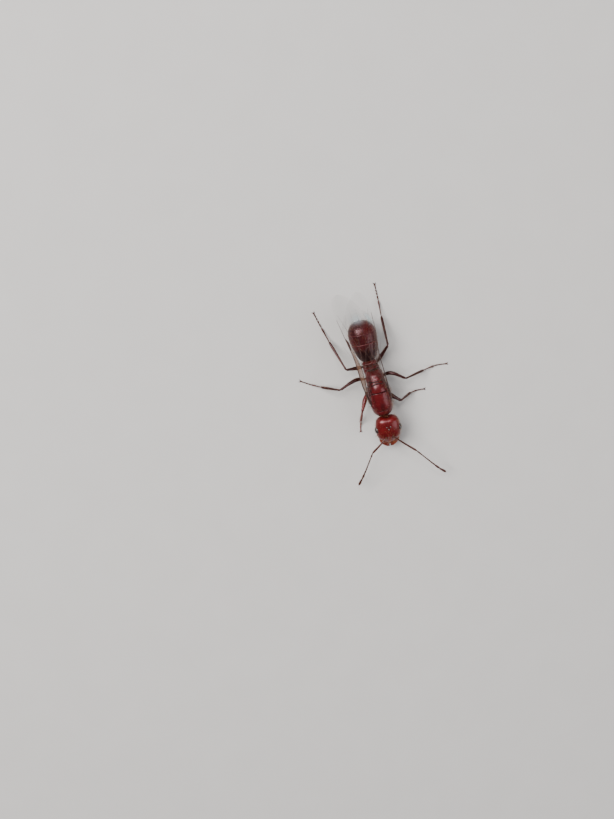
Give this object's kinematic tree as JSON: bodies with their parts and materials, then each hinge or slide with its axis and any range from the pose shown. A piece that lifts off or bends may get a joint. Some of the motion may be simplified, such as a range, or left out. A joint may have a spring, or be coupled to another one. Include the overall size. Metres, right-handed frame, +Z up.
{
  "type": "winged fire ant queen",
  "caption": "Life-size still model of a winged fire ant queen, standing on its feet with its head forward, feelers spread and clear wings laid back over the body.",
  "frame": {"origin": "on the floor, under the middle of the ant's bounding box, at the level of the soles", "axes": "+Z up from the floor to the ant's back, the head points to -Y and the wing tips to +Y, the ant's own left is +X"},
  "size_m": [0.0092, 0.0136, 0.0032],
  "materials": {
    "red_shell": "glossy brick red cuticle of head, trunk and waist",
    "dark_shell": "glossy dark maroon cuticle of the gaster",
    "brown_shell": "satin red-brown cuticle of legs and feelers",
    "jaw_shell": "orange-brown jaws with dark teeth",
    "black_eye": "glossy black facets",
    "clear_wing": "clear film with tan and brown veins"
  },
  "bodies": {
    "root": {"coxa_fore_left": "brown_shell", "coxa_fore_right": "brown_shell", "coxa_hind_left": "brown_shell", "coxa_hind_right": "brown_shell", "coxa_mid_left": "brown_shell", "coxa_mid_right": "brown_shell", "eye_left": "black_eye", "eye_right": "black_eye", "femur_fore_left": "brown_shell", "femur_fore_right": "brown_shell", "femur_hind_left": "brown_shell", "femur_hind_right": "brown_shell", "femur_mid_left": "brown_shell", "femur_mid_right": "brown_shell", "forewing_left": "clear_wing", "forewing_right": "clear_wing", "funiculus_left": "brown_shell", "funiculus_right": "brown_shell", "gaster_1": "dark_shell", "gaster_2": "dark_shell", "gaster_3": "dark_shell", "gaster_4": "dark_shell", "head": "red_shell", "hindwing_left": "clear_wing", "hindwing_right": "clear_wing", "mandible_left": "jaw_shell", "mandible_right": "jaw_shell", "mesothorax": "red_shell", "metathorax": "red_shell", "petiole": "red_shell", "postpetiole": "red_shell", "pronotum": "red_shell", "propodeum": "red_shell", "scape_left": "brown_shell", "scape_right": "brown_shell", "tarsus_fore_left": "brown_shell", "tarsus_fore_right": "brown_shell", "tarsus_hind_left": "brown_shell", "tarsus_hind_right": "brown_shell", "tarsus_mid_left": "brown_shell", "tarsus_mid_right": "brown_shell", "tibia_fore_left": "brown_shell", "tibia_fore_right": "brown_shell", "tibia_hind_left": "brown_shell", "tibia_hind_right": "brown_shell", "tibia_mid_left": "brown_shell", "tibia_mid_right": "brown_shell"}
  },
  "joints": []
}
